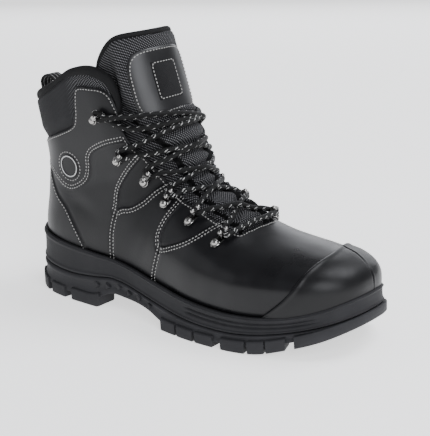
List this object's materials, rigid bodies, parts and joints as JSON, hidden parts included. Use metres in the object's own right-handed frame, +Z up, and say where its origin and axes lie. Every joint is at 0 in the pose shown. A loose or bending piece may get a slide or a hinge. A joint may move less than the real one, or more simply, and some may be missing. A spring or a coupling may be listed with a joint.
{
  "type": "lace-up safety boot",
  "caption": "Ankle-high lace-up work boot for the right foot with a padded collar, riveted lace loops, moulded toe bumper and a lugged cup sole.",
  "frame": {"origin": "middle of the boot's box at floor level, under the tread", "axes": "+X towards the toe, +Y towards the inner (medial) side, +Z up"},
  "size_m": [0.3042, 0.1111, 0.2106],
  "materials": {
    "leather": "black smooth satin leather",
    "sole_rubber": "black moulded matt",
    "textile": "black woven padded",
    "lace": "black round braid with pale flecks",
    "hardware": "bright nickel-plated steel"
  },
  "bodies": {
    "root": {"upper": "leather", "midsole": "sole_rubber", "outsole": "sole_rubber", "toe_bumper": "sole_rubber", "insole": "textile", "tongue": "textile", "pull_loop": "textile", "eyelet_lateral_1": "hardware", "eyelet_lateral_2": "hardware", "eyelet_lateral_3": "hardware", "eyelet_lateral_4": "hardware", "eyelet_lateral_5": "hardware", "eyelet_medial_1": "hardware", "eyelet_medial_2": "hardware", "eyelet_medial_3": "hardware", "eyelet_medial_4": "hardware", "eyelet_medial_5": "hardware", "hook_lateral": "hardware", "hook_medial": "hardware", "lace_bar_bottom": "lace", "lace_cross_1": "lace", "lace_cross_2": "lace", "lace_cross_3": "lace", "lace_cross_4": "lace", "lace_cross_5": "lace", "lace_bar_top": "lace"}
  },
  "joints": []
}
